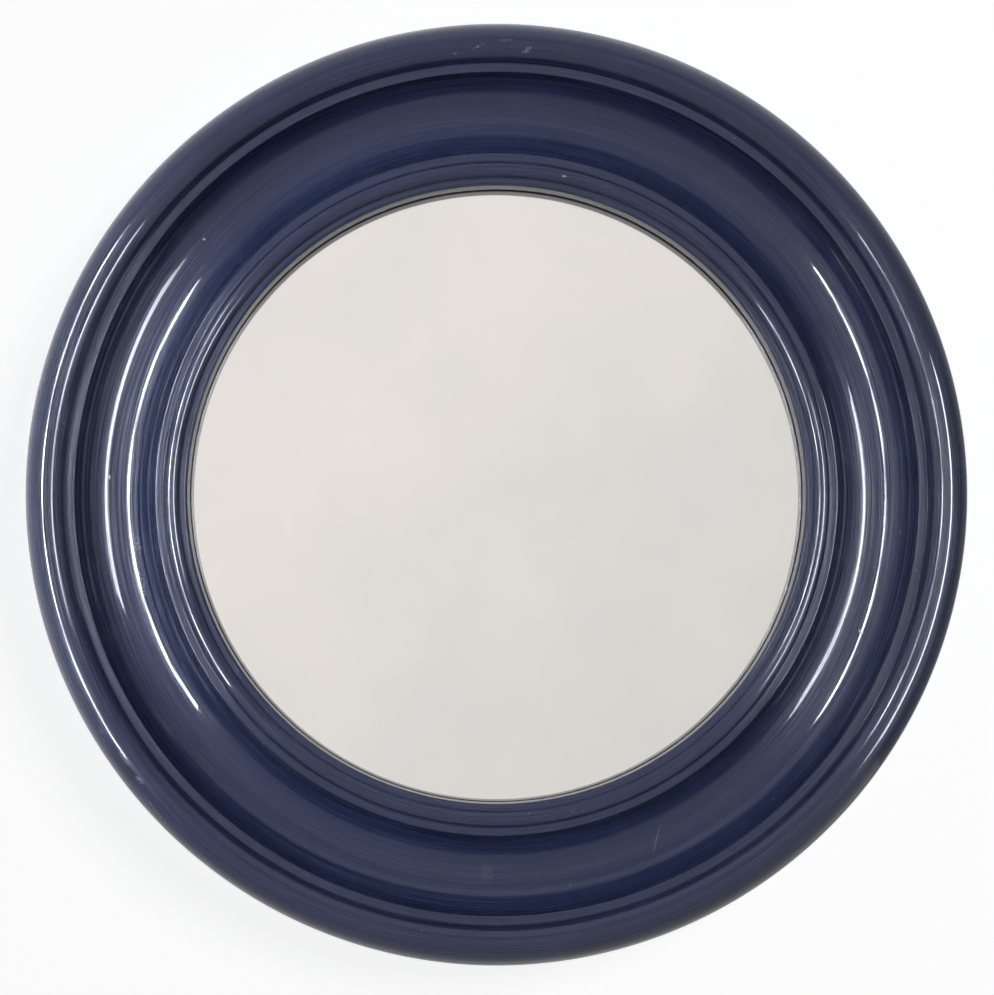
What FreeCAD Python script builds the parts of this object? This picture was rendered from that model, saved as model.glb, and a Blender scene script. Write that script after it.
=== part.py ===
import FreeCAD, Part
import math
import os

# Round wall mirror. A one-piece moulded plastic frame, hollow and ribbed behind, holds a round
# glass in a pocket. A card and a hardboard disc follow the glass in from the back, and turn
# buttons keep them there. A keyhole plate at the top hangs the mirror on one screw in the wall.
#
# Millimetres. The wall is the plane y = 0, the mirror faces -Y and +Z is up. The origin is on the
# wall, on the mirror's axis. A section is drawn as (radius, depth), where depth is the distance in
# front of the wall, and a repeated piece is drawn on the +X side and turned into place.

# Glass and what lies behind it
glass_diameter = 350.0
glass_thickness = 4.0
silver_thickness = 0.2
card_thickness = 2.0
card_clearance = 1.2
board_thickness = 3.0
board_clearance = 0.6

# Front of the frame, from the glass outwards
glass_overlap = 5.0
sight_wall_height = 12.0
lip_softening = 1.2
lip_ledge = 3.9
small_bead_width = 9.0
small_bead_height = 4.2
step_ledge = 4.4
step_drop = 5.0
cove_radius = 22.0
outer_ledge = 4.8
large_bead_radius = 9.5
flank_width = 15.0
flank_height = 26.5
rim_height = 20.0

# How far the straight bands of a round stretch may leave its true curve
front_band_bow = 0.95
rear_band_bow = 2.0
heel_band_bow = 0.5

# Back of the frame
wall_thickness = 3.0
pocket_clearance = 0.5
rib_count = 12
rib_thickness = 2.0
rib_recess = 1.0

# Turn buttons and their screws
button_count = 6
button_thickness = 1.2
button_heel_radius = 6.0
button_tip_width = 7.0
button_length = 24.0
button_pad_width = 9.0
button_pivot_offset = 5.5
screw_radius = 1.75
screw_head_radius = 3.5
screw_head_height = 2.2
screw_grip = 10.0
running_clearance = 0.05
pilot_clearance = 0.05
pilot_spare_depth = 1.0

# Keyhole plate and its screws
hanger_length = 54.0
hanger_height = 22.0
hanger_thickness = 1.5
hanger_corner_cut = 3.0
hanger_recess = 3.0
hanger_rim_gap = 3.5
hanger_screw_spacing = 40.0
hanger_boss_radius = 4.5
keyhole_radius = 4.75
keyhole_slot_width = 5.0
keyhole_drop = 3.5
keyhole_rise = 9.5

# Radii of the frame's front, from the glass outwards
glass_radius = glass_diameter / 2
sight_radius = glass_radius - glass_overlap
small_bead_inner = sight_radius + lip_ledge
small_bead_centre = small_bead_inner + small_bead_width / 2
small_bead_outer = small_bead_inner + small_bead_width
cove_inner = small_bead_outer + step_ledge
cove_centre = cove_inner + math.sqrt(cove_radius**2 - step_drop**2)
cove_outer = cove_centre + cove_radius
large_bead_foot = cove_outer + outer_ledge
crown_radius = large_bead_foot + large_bead_radius
rim_radius = crown_radius + flank_width

# Depths of the frame's levels in front of the wall
crown_level = rim_height + flank_height
ledge_level = crown_level - large_bead_radius
step_level = ledge_level - step_drop
cove_rear = ledge_level - cove_radius - wall_thickness
glass_face = step_level - sight_wall_height
glass_rear = glass_face - glass_thickness
silver_rear = glass_rear - silver_thickness
card_rear = silver_rear - card_thickness
board_rear = card_rear - board_thickness
button_rear = board_rear - button_thickness
hanger_face = hanger_recess + hanger_thickness

# Radii and places behind the frame's front
pocket_radius = glass_radius + pocket_clearance
pocket_outer = pocket_radius + wall_thickness
pivot_radius = pocket_outer + button_pivot_offset
hanger_top = math.sqrt((rim_radius - wall_thickness - hanger_rim_gap) ** 2 - (hanger_length / 2) ** 2)
hanger_radius = hanger_top - hanger_height / 2

AXIS = FreeCAD.Vector(0, 1, 0)
CENTRE = FreeCAD.Vector(0, 0, 0)
TOP = 90.0
PAST = 1.0


def point(radius, depth, side=0.0):
    """A point on the +X side, at a radius, a depth in front of the wall and a distance sideways."""
    return FreeCAD.Vector(radius, -depth, side)


def round_the_axis(shape, angle):
    """A copy turned about the mirror's axis, counter-clockwise as the front is seen."""
    copy = shape.copy()
    copy.rotate(CENTRE, AXIS, -angle)
    return copy


def pattern(shape, count, first_angle=0.0):
    """Evenly spaced copies of a shape about the mirror's axis."""
    step = 360.0 / count
    return [round_the_axis(shape, first_angle + step * place) for place in range(count)]


def at_hanger(shape, side=0.0):
    """A copy of a shape drawn at radius zero, moved to the hanger's place at the top."""
    copy = shape.copy()
    copy.translate(FreeCAD.Vector(hanger_radius, 0, side))
    return round_the_axis(copy, TOP)


def at_hanger_screws(shape):
    """Copies of a shape drawn at radius zero, one for each of the hanger's two screws."""
    return [at_hanger(shape, side) for side in (-hanger_screw_spacing / 2, hanger_screw_spacing / 2)]


def bands(centre, size, start, end, bow=front_band_bow):
    """Points on a stretch of an ellipse, with as many straight bands as the allowed bow needs.

    The centre and the two half axes are (radius, depth), or (radius, side) for a flat plate. The
    angles are in degrees, from the outward direction towards the second of these.
    """
    band_angle = 2 * math.degrees(math.acos(1 - bow / max(size)))
    count = max(2, math.ceil(abs(end - start) / band_angle))
    angles = [math.radians(start + (end - start) * place / count) for place in range(count + 1)]
    return [(centre[0] + size[0] * math.cos(a), centre[1] + size[1] * math.sin(a)) for a in angles]


def turned(section):
    """A solid turned about the mirror's axis from the corners of a closed section."""
    corners = [point(*corner) for corner in section]
    outline = Part.makePolygon(corners + corners[:1])
    return Part.Face(outline).revolve(CENTRE, AXIS, 360)


def disc(radius, front, rear):
    """A round sheet on the mirror's axis, from one depth back to another."""
    return Part.makeCylinder(radius, front - rear, point(0, front), AXIS)


def post(radius, place, front, rear):
    """A round post along the mirror's axis, out at a place, from one depth back to another."""
    return Part.makeCylinder(radius, front - rear, point(place, front), AXIS)


def plate(corners, front, rear):
    """A flat plate between two depths, from its corners as (radius, side) on the +X side."""
    placed = [point(radius, front, side) for radius, side in corners]
    return Part.Face(Part.makePolygon(placed + placed[:1])).extrude(AXIS * (front - rear))


def bar(inner, outer, width, front, rear):
    """A straight bar on the +X side between two radii and two depths, centred sideways."""
    half = width / 2
    return plate([(inner, -half), (outer, -half), (outer, half), (inner, half)], front, rear)


def frame_front():
    """The frame as a closed ring: rim, large bead, ledge, cove, step, small bead and sight wall."""
    flank = bands((crown_radius, rim_height), (flank_width, flank_height), 0, 90)
    inner_flank = bands((crown_radius, ledge_level), (large_bead_radius, large_bead_radius), 90, 180)
    cove_end = -180 + math.degrees(math.asin(step_drop / cove_radius))
    cove = bands((cove_centre, ledge_level), (cove_radius, cove_radius), 0, cove_end)
    small_bead = bands(
        (small_bead_centre, step_level), (small_bead_width / 2, small_bead_height), 0, 180
    )
    lip = [(sight_radius + lip_softening, step_level), (sight_radius, step_level - lip_softening)]
    pocket = [
        (sight_radius, glass_face),
        (pocket_radius, glass_face),
        (pocket_radius, board_rear),
        (pocket_outer, board_rear),
        (pocket_outer, 0),
    ]
    foot = [(rim_radius, 0)]
    return turned(foot + flank + inner_flank[1:] + cove + small_bead + lip + pocket)


def frame_hollow():
    """The space behind the frame's skin, open to the wall, with no undercut for the mould."""
    core = large_bead_radius - wall_thickness
    flank_core = (flank_width - wall_thickness, flank_height - wall_thickness)
    flank = bands((crown_radius, rim_height), flank_core, 0, 90, rear_band_bow)
    bead = bands((crown_radius, ledge_level), (core, core), 90, 180, rear_band_bow)
    half_flat = (cove_radius + wall_thickness) / 2
    return turned(
        [(rim_radius - wall_thickness, -PAST)]
        + flank
        + bead[1:]
        + [
            (cove_centre + half_flat, cove_rear),
            (cove_centre - half_flat, cove_rear),
            (pocket_outer, step_level - wall_thickness),
            (pocket_outer, -PAST),
        ]
    )


def frame_moulding():
    """The frame: its skin, ribs, button pads and hanger bosses, with the screws' pilot holes."""
    rib = bar(cove_centre, rim_radius, rib_thickness, crown_level, cove_rear + rib_recess)
    pad_end = pivot_radius + button_pad_width / 2
    pad = bar(pocket_radius, pad_end, button_pad_width, crown_level, board_rear)
    hanger_boss = post(hanger_boss_radius, 0, crown_level, hanger_face)
    kept = pattern(rib, rib_count, 180.0 / rib_count)
    kept += pattern(pad, button_count) + at_hanger_screws(hanger_boss)
    cells = frame_hollow().cut(kept)

    pilot_radius = screw_radius + pilot_clearance
    pilot_depth = screw_grip + pilot_spare_depth
    button_pilot = post(pilot_radius, pivot_radius, board_rear + pilot_depth, board_rear)
    hanger_pilot = post(pilot_radius, 0, hanger_face + pilot_depth, hanger_face)
    pilots = pattern(button_pilot, button_count) + at_hanger_screws(hanger_pilot)
    return frame_front().cut([cells] + pilots)


def mirror_glass():
    """The flat glass."""
    return disc(glass_radius, glass_face, glass_rear)


def silvering():
    """The silver film and its paint, over the whole back of the glass."""
    return disc(glass_radius, glass_rear, silver_rear)


def backing_card():
    """The card that keeps the hardboard off the silver."""
    return disc(glass_radius - card_clearance, silver_rear, card_rear)


def back_board():
    """The hardboard disc that closes the pocket."""
    return disc(pocket_radius - board_clearance, card_rear, board_rear)


def turn_button():
    """A flat steel button: a heel about its pivot, and straight sides to a clipped tip."""
    heel = bands((pivot_radius, 0), (button_heel_radius, button_heel_radius), -90, 90, heel_band_bow)
    toe = pivot_radius + button_heel_radius - button_length
    half_tip = button_tip_width / 2
    clip = button_tip_width / 4
    tip = [
        (toe + clip, half_tip),
        (toe, half_tip - clip),
        (toe, clip - half_tip),
        (toe + clip, -half_tip),
    ]
    hole = post(screw_radius + running_clearance, pivot_radius, board_rear + PAST, button_rear - PAST)
    return plate(heel + tip, board_rear, button_rear).cut(hole)


def screw(seat, reach):
    """A screw at radius zero, its head behind a seat and its shank a reach in front."""
    head = post(screw_head_radius, 0, seat, seat - screw_head_height)
    return head.fuse(post(screw_radius, 0, seat + reach, seat))


def button_screws():
    """The turn buttons' screws, each through its button and into its boss."""
    first = screw(button_rear, button_thickness + screw_grip)
    first.translate(FreeCAD.Vector(pivot_radius, 0, 0))
    return pattern(first, button_count)


def hanger_plate():
    """The steel plate with its keyhole, whose narrow slot points up."""
    half_height = hanger_height / 2
    half_length = hanger_length / 2
    cut = hanger_corner_cut
    corners = [
        (half_height, half_length - cut),
        (half_height - cut, half_length),
        (cut - half_height, half_length),
        (-half_height, half_length - cut),
        (-half_height, cut - half_length),
        (cut - half_height, -half_length),
        (half_height - cut, -half_length),
        (half_height, cut - half_length),
    ]
    front = hanger_face + PAST
    rear = hanger_recess - PAST
    slot_top = keyhole_rise - keyhole_drop
    entry = post(keyhole_radius, -keyhole_drop, front, rear)
    slot_end = post(keyhole_slot_width / 2, slot_top, front, rear)
    slot = bar(-keyhole_drop, slot_top, keyhole_slot_width, front, rear)
    keyhole = entry.fuse([slot, slot_end]).removeSplitter()
    blank = at_hanger(plate(corners, hanger_face, hanger_recess).cut(keyhole))
    return blank.cut(at_hanger_screws(post(screw_radius + running_clearance, 0, front, rear)))


def hanger_screws():
    """The two screws that hold the keyhole plate to its bosses."""
    return at_hanger_screws(screw(hanger_recess, hanger_thickness + screw_grip))


def pieces():
    """Every piece of the mirror under its own name."""
    made = {
        "frame_moulding": frame_moulding(),
        "mirror_glass": mirror_glass(),
        "silvering": silvering(),
        "backing_card": backing_card(),
        "back_board": back_board(),
        "button_screws": Part.makeCompound(button_screws()),
        "hanger_plate": hanger_plate(),
        "hanger_screws": Part.makeCompound(hanger_screws()),
    }
    for number, button in enumerate(pattern(turn_button(), button_count), start=1):
        made[f"turn_button_{number}"] = button
    return made


os.makedirs("parts", exist_ok=True)
for name, shape in pieces().items():
    shape.exportStep(f"parts/{name}.step")
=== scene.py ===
"""Round wall mirror: a glossy moulded plastic frame, its glass, and what holds and hangs them behind.

Metres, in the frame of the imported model: the wall is the plane y = 0, the mirror faces -Y, +Z is up
and the origin is on the mirror's axis. A section is drawn as (radius, depth), where depth is the
distance in front of the wall, and it runs counter-clockwise, with radius to the right and depth up.
A turn is the angle round the mirror's axis from +X towards +Z.
"""
import logging
import math
from abc import ABC, abstractmethod
from dataclasses import dataclass, field
from enum import Enum
from functools import cached_property

import bpy
import numpy as np
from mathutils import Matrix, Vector


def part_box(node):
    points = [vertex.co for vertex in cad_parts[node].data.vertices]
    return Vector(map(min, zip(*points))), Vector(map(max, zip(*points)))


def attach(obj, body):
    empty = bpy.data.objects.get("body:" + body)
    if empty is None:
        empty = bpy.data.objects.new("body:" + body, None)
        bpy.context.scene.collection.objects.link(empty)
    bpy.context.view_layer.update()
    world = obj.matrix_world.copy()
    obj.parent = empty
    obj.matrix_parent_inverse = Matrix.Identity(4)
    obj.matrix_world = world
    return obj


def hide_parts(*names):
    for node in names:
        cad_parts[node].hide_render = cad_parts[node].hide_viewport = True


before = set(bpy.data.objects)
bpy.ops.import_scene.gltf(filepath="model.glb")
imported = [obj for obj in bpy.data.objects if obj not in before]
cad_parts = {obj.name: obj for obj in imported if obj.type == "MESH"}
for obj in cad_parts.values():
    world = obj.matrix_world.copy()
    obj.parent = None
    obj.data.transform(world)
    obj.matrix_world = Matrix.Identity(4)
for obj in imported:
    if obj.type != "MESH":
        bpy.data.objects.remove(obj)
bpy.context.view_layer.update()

MM = 0.001
FULL_TURN = 2 * math.pi
TOP = math.pi / 2
TINY = 1e-9
ROOT = "root"
SURFACE_UV = "Surface"
FRONT_SHARE = "Front"
# The Edge attribute marks the front's convex corners, whose colour is lightened as wear and as a painted
# highlight.
EDGE_SHARE = "Edge"

Colour = tuple[float, float, float]
Place = tuple[float, float]
Point = tuple[float, float, float]
Material = bpy.types.Material
Object = bpy.types.Object
Socket = bpy.types.NodeSocket

log = logging.getLogger("wall_mirror")


class Slot(Enum):
    """The record's material slots, one for each kind of new piece, by name."""

    FRAME = "frame_plastic"
    GLASS = "clear_glass"
    BOARD = "hardboard"
    BUTTON = "button_steel"
    PLATE = "plate_steel"
    SCREW = "screw_steel"


class Rays(Enum):
    """Which of the surfaces' rays a lamp is there for."""

    MATT = "matt"
    GLOSS = "gloss"


# Surfaces


@dataclass
class Surface:
    """A closed surface: its points, its faces, and each face corner's row and column in the grid."""

    points: np.ndarray
    faces: list[list[int]]
    corner_rows: np.ndarray | None = None
    corner_columns: np.ndarray | None = None


def ray(angle: np.ndarray) -> np.ndarray:
    """Gives (cos t, sin t) for each angle t."""
    return np.stack([np.cos(angle), np.sin(angle)], axis=-1)


def arc(centre: Place, half_axes: Place, start: float, end: float, count: int = 60) -> np.ndarray:
    """Gives points on a stretch of an ellipse: the centre plus (a cos t, b sin t).

    Args:
        centre: the ellipse's centre.
        half_axes: its half axes a and b.
        start: the first angle t, in degrees.
        end: the last angle t.
        count: how many points there are.

    Returns:
        The points, one a row.
    """
    return np.array(centre) + np.array(half_axes) * ray(np.radians(np.linspace(start, end, count)))


def lengths_along(outline: np.ndarray) -> np.ndarray:
    """Gives the distance of each point from the first, along the outline."""
    return np.concatenate([[0.0], np.cumsum(np.linalg.norm(np.diff(outline, axis=0), axis=1))])


def read_at(wanted: np.ndarray, places: np.ndarray, outline: np.ndarray) -> np.ndarray:
    """Gives an outline's points at wanted places, between its own points' places."""
    return np.stack([np.interp(wanted, places, column) for column in outline.T], axis=1)


def softened(outline: np.ndarray, softness: float, step: float) -> tuple[np.ndarray, np.ndarray]:
    """Rounds a closed section's corners, as a mould does.

    The section is cut into even steps, and each point becomes the mean of its neighbours, weighted by
    exp(-d^2 / 2s^2) of their distance d along the section, where s is the softness. The mean reaches 4s.

    Args:
        outline: the section's points, without the first repeated.
        softness: the distance s.
        step: the length of a step.

    Returns:
        The softened points, and each one's turning to a metre, above 0 on an outer corner.
    """
    closed = np.vstack([outline, outline[:1]])
    along = lengths_along(closed)
    points = read_at(np.linspace(0.0, along[-1], int(along[-1] / step), endpoint=False), along, closed)
    reach = math.ceil(4 * softness / step)
    weights = np.exp(-0.5 * (np.arange(-reach, reach + 1) * step / softness) ** 2)
    weights /= weights.sum()
    padded = np.vstack([points[-reach:], points, points[:reach]])
    soft = np.stack([np.convolve(column, weights, "valid") for column in padded.T], axis=1)
    ahead = np.roll(soft, -1, axis=0) - soft
    heading = np.unwrap(np.arctan2(ahead[:, 1], ahead[:, 0]))
    return soft, np.diff(heading, prepend=heading[:1]) / step


def grid(points: np.ndarray, closed: bool = False) -> Surface:
    """Joins a grid of points into a surface that closes round its columns.

    Each point is joined to its neighbours in both ways by a four-sided face. Where the rows don't
    close, the first and last are single points, as at the poles of a globe.

    Args:
        points: the points by row and column.
        closed: whether the last row is joined to the first.

    Returns:
        The surface.
    """
    rows, columns = points.shape[:2]
    index = np.arange(rows * columns).reshape(rows, columns)
    if not closed:
        index = np.clip(index - columns + 1, 0, (rows - 2) * columns + 1)
        points = np.vstack([points[0, :1], points[1:-1].reshape(-1, 3), points[-1, :1]])
    bands = rows if closed else rows - 1
    row, column = (part.ravel() for part in np.meshgrid(np.arange(bands), np.arange(columns), indexing="ij"))
    corner_rows = np.stack([row, row, row + 1, row + 1], axis=1)
    corner_columns = np.stack([column, column + 1, column + 1, column], axis=1)
    corners = index[corner_rows % rows, corner_columns % columns]
    faces = [list(dict.fromkeys(face)) for face in corners.tolist()]
    return Surface(points.reshape(-1, 3), faces, corner_rows, corner_columns)


def joined(surfaces: list[Surface]) -> Surface:
    """Puts several surfaces into one, side by side.

    Args:
        surfaces: the surfaces.

    Returns:
        The one surface.
    """
    starts = np.cumsum([0] + [len(one.points) for one in surfaces]).tolist()
    pairs = zip(starts, surfaces)
    faces = [[corner + start for corner in face] for start, one in pairs for face in one.faces]
    return Surface(np.vstack([one.points for one in surfaces]), faces)


def round_axis(radius: np.ndarray, depth: np.ndarray, turn: np.ndarray, centre: Place = (0, 0)) -> np.ndarray:
    """Gives points round an axis along Y: (x + r cos t, -depth, z + r sin t).

    Args:
        radius: the radii r.
        depth: the depths.
        turn: the turns t.
        centre: the axis's place x and z.

    Returns:
        The points, in an array of the arguments' common shape with three numbers each.
    """
    radius, depth, turn = np.broadcast_arrays(radius, depth, turn)
    return np.stack([centre[0] + radius * np.cos(turn), -depth, centre[1] + radius * np.sin(turn)], axis=-1)


def even_turns(steps: int) -> np.ndarray:
    """Gives even turns round a full circle, without the last, in one row."""
    return np.linspace(0.0, FULL_TURN, steps, endpoint=False)[None, :]


def turned_into_place(points: np.ndarray, turn: float) -> np.ndarray:
    """Turns points of the +X side round the mirror's axis: (x cos t - z sin t, y, x sin t + z cos t).

    Args:
        points: the points.
        turn: the turn t.

    Returns:
        The turned points.
    """
    x, y, z = points[..., 0], points[..., 1], points[..., 2]
    cosine, sine = math.cos(turn), math.sin(turn)
    return np.stack([x * cosine - z * sine, y, x * sine + z * cosine], axis=-1)


def drafted_plate(section: np.ndarray, half_rear: float, half_front: float, turn: float) -> Surface:
    """Makes a flat plate that stands along a radius and thickens towards the front, to leave its mould.

    Its half thickness runs evenly from the section's rearmost point to its foremost.

    Args:
        section: the plate's outline as (radius, depth), counter-clockwise.
        half_rear: half its thickness at the rear.
        half_front: half its thickness at the front.
        turn: where it stands.

    Returns:
        The surface.
    """
    radius, depth = section.T
    half = np.interp(depth, [depth.min(), depth.max()], [half_rear, half_front])
    sheets = [np.stack([radius, -depth, side * half], axis=1) for side in (-1, 1)]
    count = len(section)
    here = np.arange(count)
    ahead = np.roll(here, -1)
    sides = np.stack([here, here + count, ahead + count, ahead], axis=1).tolist()
    faces = sides + [here.tolist(), (here[::-1] + count).tolist()]
    return Surface(turned_into_place(np.vstack(sheets), turn), faces)


def convex_reach(corners: np.ndarray, angle: np.ndarray) -> np.ndarray:
    """Gives how far a convex outline reaches from the origin at each angle.

    Each side lies on a line n.p = d with n outwards, and a ray along u meets it at d / n.u. The reach
    is the least of these over the sides that the ray can meet.

    Args:
        corners: the outline's corners, counter-clockwise round the origin.
        angle: the angles.

    Returns:
        The reach at each angle.
    """
    side = np.roll(corners, -1, axis=0) - corners
    outward = np.stack([side[:, 1], -side[:, 0]], axis=1) / np.linalg.norm(side, axis=1)[:, None]
    distance = (outward * corners).sum(axis=1)[:, None]
    across = outward @ ray(angle).T
    meets = across > TINY
    return np.where(meets, distance / np.where(meets, across, 1.0), np.inf).min(axis=0)


def circle_reach(ahead: float, radius: float, angle: np.ndarray) -> np.ndarray:
    """Gives how far a circle round the origin, centred c ahead, reaches: cu + sqrt(cu^2 - c^2 + r^2)."""
    towards = ahead * np.cos(angle)
    return towards + np.sqrt(np.maximum(towards**2 - ahead**2 + radius**2, 0.0))


def link_object(name: str, data: bpy.types.ID) -> Object:
    """Makes an object and links it to the scene.

    Args:
        name: its name.
        data: its data.

    Returns:
        The object.
    """
    made = bpy.data.objects.new(name, data)
    bpy.context.scene.collection.objects.link(made)
    return made


def make_object(name: str, surface: Surface, smooth: bool = True) -> Object:
    """Puts a surface into a new mesh object.

    Args:
        name: the object's name.
        surface: the surface.
        smooth: whether its faces are shaded as one smooth surface.

    Returns:
        The object, linked to the scene.
    """
    mesh = bpy.data.meshes.new(name)
    mesh.from_pydata(surface.points.tolist(), [], surface.faces)
    mesh.polygons.foreach_set("use_smooth", np.full(len(mesh.polygons), smooth))
    mesh.update()
    return link_object(name, mesh)


def fit_piece(piece: Object, material: Material, slot: Slot, body: str, *nodes: str) -> None:
    """Dresses a piece and sets it in the frame.

    Args:
        piece: the piece.
        material: its material.
        slot: the record's slot of that material, which is not used.
        body: the body that it rides on.
        nodes: the nodes that it stands for.
    """
    piece.data.materials.append(material)
    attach(piece, body)
    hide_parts(*nodes)
    faces = len(piece.data.polygons)
    log.info("%s: %d faces, rides %s, stands for %s", piece.name, faces, body, ", ".join(nodes))


def dress_node(node: str, material: Material) -> None:
    """Gives a node that keeps its own mesh its material.

    Args:
        node: the node's name.
        material: the material.
    """
    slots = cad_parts[node].material_slots
    for slot in slots:
        slot.material = material
    log.info("%s: keeps its mesh, %d material slot", node, len(slots))


# Shader nodes


class NodeGraph:
    """A node tree, with short calls that add nodes, set their inputs and join them."""

    def __init__(self, tree: bpy.types.NodeTree) -> None:
        """Takes the tree to build in."""
        self.tree = tree

    def feed(self, node: bpy.types.Node, inputs: dict) -> None:
        """Sets a node's inputs to values, or joins sockets to them. A plain colour is made opaque.

        Args:
            node: the node.
            inputs: a value or a socket for each input, by its name or number.
        """
        for name, value in inputs.items():
            target = node.inputs[name]
            if isinstance(value, Socket):
                self.tree.links.new(value, target)
            else:
                target.default_value = (*value, 1.0) if target.type == "RGBA" else value

    def add(self, kind: str, inputs: dict | None = None, **settings: object) -> bpy.types.Node:
        """Adds a node.

        Args:
            kind: the node's type.
            inputs: a value or a socket for each input, by its name or number.
            settings: the node's own attributes, such as its operation.

        Returns:
            The node.
        """
        node = self.tree.nodes.new(kind)
        for name, value in settings.items():
            setattr(node, name, value)
        self.feed(node, inputs or {})
        return node

    def place(self, group: bpy.types.NodeTree, **inputs: object) -> Socket:
        """Places a node group and gives its output."""
        return self.add("ShaderNodeGroup", inputs, node_tree=group).outputs[0]

    def work(self, operation: str, first: object, second: object = 0.0, *more: object) -> Socket:
        """Works out a sum of values, such as SUBTRACT, from the first to the last."""
        result = self.add("ShaderNodeMath", {0: first, 1: second}, operation=operation).outputs[0]
        return self.work(operation, result, *more) if more else result

    def times(self, *values: object) -> Socket:
        """Multiplies values."""
        return self.work("MULTIPLY", *values)

    def plus(self, *values: object) -> Socket:
        """Adds values."""
        return self.work("ADD", *values)

    def most(self, *values: object) -> Socket:
        """Gives the greatest of some values."""
        return self.work("MAXIMUM", *values)

    def mix(self, amount: object, first: object, second: object) -> Socket:
        """Mixes two colours, with the second's share from 0 to 1."""
        return self.add("ShaderNodeMix", {0: amount, 6: first, 7: second}, data_type="RGBA").outputs[2]

    def spread(self, value: object, low: object, high: object, start: float = 0, end: float = 1) -> Socket:
        """Maps the values from low to high smoothly to those from start to end, and holds the rest."""
        inputs = {"Value": value, "From Min": low, "From Max": high, "To Min": start, "To Max": end}
        return self.add("ShaderNodeMapRange", inputs, interpolation_type="SMOOTHSTEP").outputs["Result"]

    def noise(self, place: object, scale: object, detail: float = 2.0) -> Socket:
        """Gives soft random variation about 0.5, with scale features to a metre."""
        inputs = {"Vector": place, "Scale": scale, "Detail": detail}
        return self.add("ShaderNodeTexNoise", inputs).outputs["Fac"]

    def clouds(self, place: Socket, scale: float, detail: float, *span: float) -> Socket:
        """Gives such variation with its low and high values, and what they become, as spread takes them."""
        return self.spread(self.noise(place, scale, detail), *span)

    def parts(self, place: Socket) -> bpy.types.bpy_prop_collection:
        """Gives the three numbers of a place."""
        return self.add("ShaderNodeSeparateXYZ", {0: place}).outputs

    def point(self, x: object = 0.0, y: object = 0.0, z: object = 0.0) -> Socket:
        """Puts three numbers together into a place."""
        return self.add("ShaderNodeCombineXYZ", {0: x, 1: y, 2: z}).outputs[0]

    def vector_work(self, operation: str, first: object, second: object = (0.0, 0.0, 0.0)) -> Socket:
        """Works out a sum of two places, such as ADD."""
        return self.add("ShaderNodeVectorMath", {0: first, 1: second}, operation=operation).outputs["Vector"]

    def dot(self, first: object, second: object) -> Socket:
        """Gives how far a place lies along a way."""
        inputs = {0: first, 1: second}
        return self.add("ShaderNodeVectorMath", inputs, operation="DOT_PRODUCT").outputs["Value"]

    def spun(self, place: Socket, turn: object) -> Socket:
        """Turns a place about the z axis."""
        return self.add("ShaderNodeMapping", {"Vector": place, "Rotation": self.point(z=turn)}).outputs[0]

    def solid_place(self) -> Socket:
        """Gives a point's place in the piece's own coordinates."""
        return self.add("ShaderNodeTexCoord").outputs["Object"]

    def flat_place(self) -> Socket:
        """Gives a point's place across and up, with its depth left out."""
        parts = self.parts(self.solid_place())
        return self.point(parts[0], parts[2])

    def ring_place(self, across: Socket) -> Socket:
        """Gives a place for lines that run round the mirror: the turn as a point on a circle, and a length.

        Args:
            across: the length across the lines.

        Returns:
            The place.
        """
        parts = self.parts(self.solid_place())
        circle = self.vector_work("NORMALIZE", self.point(parts[0], z=parts[2]))
        return self.vector_work("ADD", circle, self.point(y=across))

    def share(self, name: str) -> Socket:
        """Gives a piece's own attribute, or 0 on a piece without it."""
        return self.add("ShaderNodeAttribute", attribute_name=name).outputs["Fac"]

    def bump(self, height: Socket) -> Socket:
        """Turns a height in metres into a normal."""
        inputs = {"Height": height, "Distance": 1.0, "Strength": 1.0}
        return self.add("ShaderNodeBump", inputs).outputs["Normal"]


class Effect(NodeGraph):
    """A shader node group under construction: its graph, what it is given and what it puts out."""

    def __init__(self, name: str, output: str, **inputs: float | None) -> None:
        """Starts the group.

        Args:
            name: its name.
            output: its output's name.
            inputs: each number input's plain value, or None for the place.
        """
        super().__init__(bpy.data.node_groups.new(name, "ShaderNodeTree"))
        for label, value in inputs.items():
            kind = "NodeSocketVector" if value is None else "NodeSocketFloat"
            socket = self.tree.interface.new_socket(label, in_out="INPUT", socket_type=kind)
            if value is not None:
                socket.default_value = value
        self.tree.interface.new_socket(output, in_out="OUTPUT", socket_type="NodeSocketFloat")
        self.given = self.add("NodeGroupInput").outputs

    def done(self, result: Socket) -> bpy.types.NodeTree:
        """Joins the result to the group's output and gives the group."""
        self.add("NodeGroupOutput", {0: result})
        return self.tree


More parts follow.
